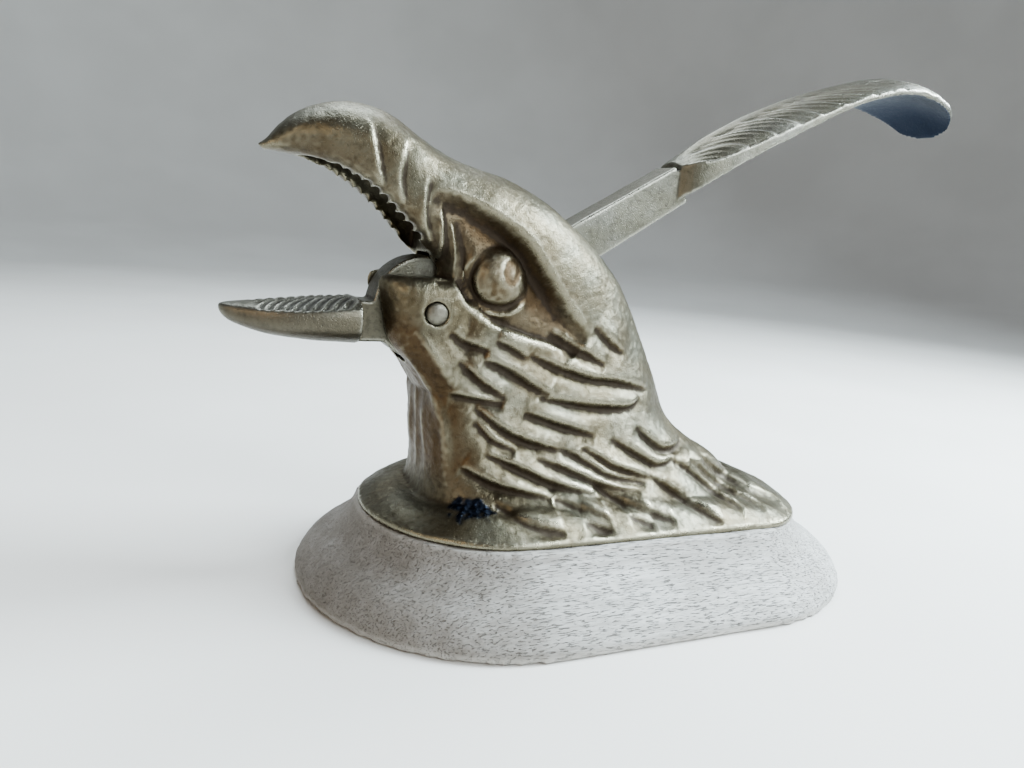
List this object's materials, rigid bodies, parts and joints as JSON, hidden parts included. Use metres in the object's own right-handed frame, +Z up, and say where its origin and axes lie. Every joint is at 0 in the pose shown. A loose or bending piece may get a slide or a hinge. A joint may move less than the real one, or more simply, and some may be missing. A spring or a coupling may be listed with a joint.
{
  "type": "nutcracker",
  "caption": "Table nutcracker: a cast eagle's head on a wooden base, its lower beak the short end of a feather-shaped lever that closes on the nut.",
  "frame": {"origin": "centre of the base's underside", "axes": "+Z up; +X from the beak to the handle, along the base; the object is mirror-symmetric about the XZ plane"},
  "size_m": [0.2327, 0.113, 0.1617],
  "materials": {
    "aged_brass": "aged cast brass, dark in the hollows and worn bright on the ridges",
    "lever_brass": "aged cast brass, worn grey and smoother on the arm and handle",
    "pin_steel": "dull peened steel",
    "base_wood": "weathered grey-stained wood, rough and open-grained",
    "screw_steel": "plain steel, dull",
    "washer_steel": "plain steel, dull"
  },
  "bodies": {
    "stand": {"eagle_body": "aged_brass", "pivot_pin": "pin_steel", "wooden_base": "base_wood", "base_screw_front": "screw_steel", "screw_washer_front": "washer_steel", "base_screw_left": "screw_steel", "screw_washer_left": "washer_steel", "base_screw_right": "screw_steel", "screw_washer_right": "washer_steel"},
    "lever_swing": {"lever": "lever_brass"}
  },
  "joints": [
    {"name": "lever_hinge", "type": "hinge", "parent": "stand", "child": "lever_swing", "pos_m": [-0.0588, 0, 0.0781], "axis": [0, 1, 0], "range_deg": [-3, 38]}
  ]
}
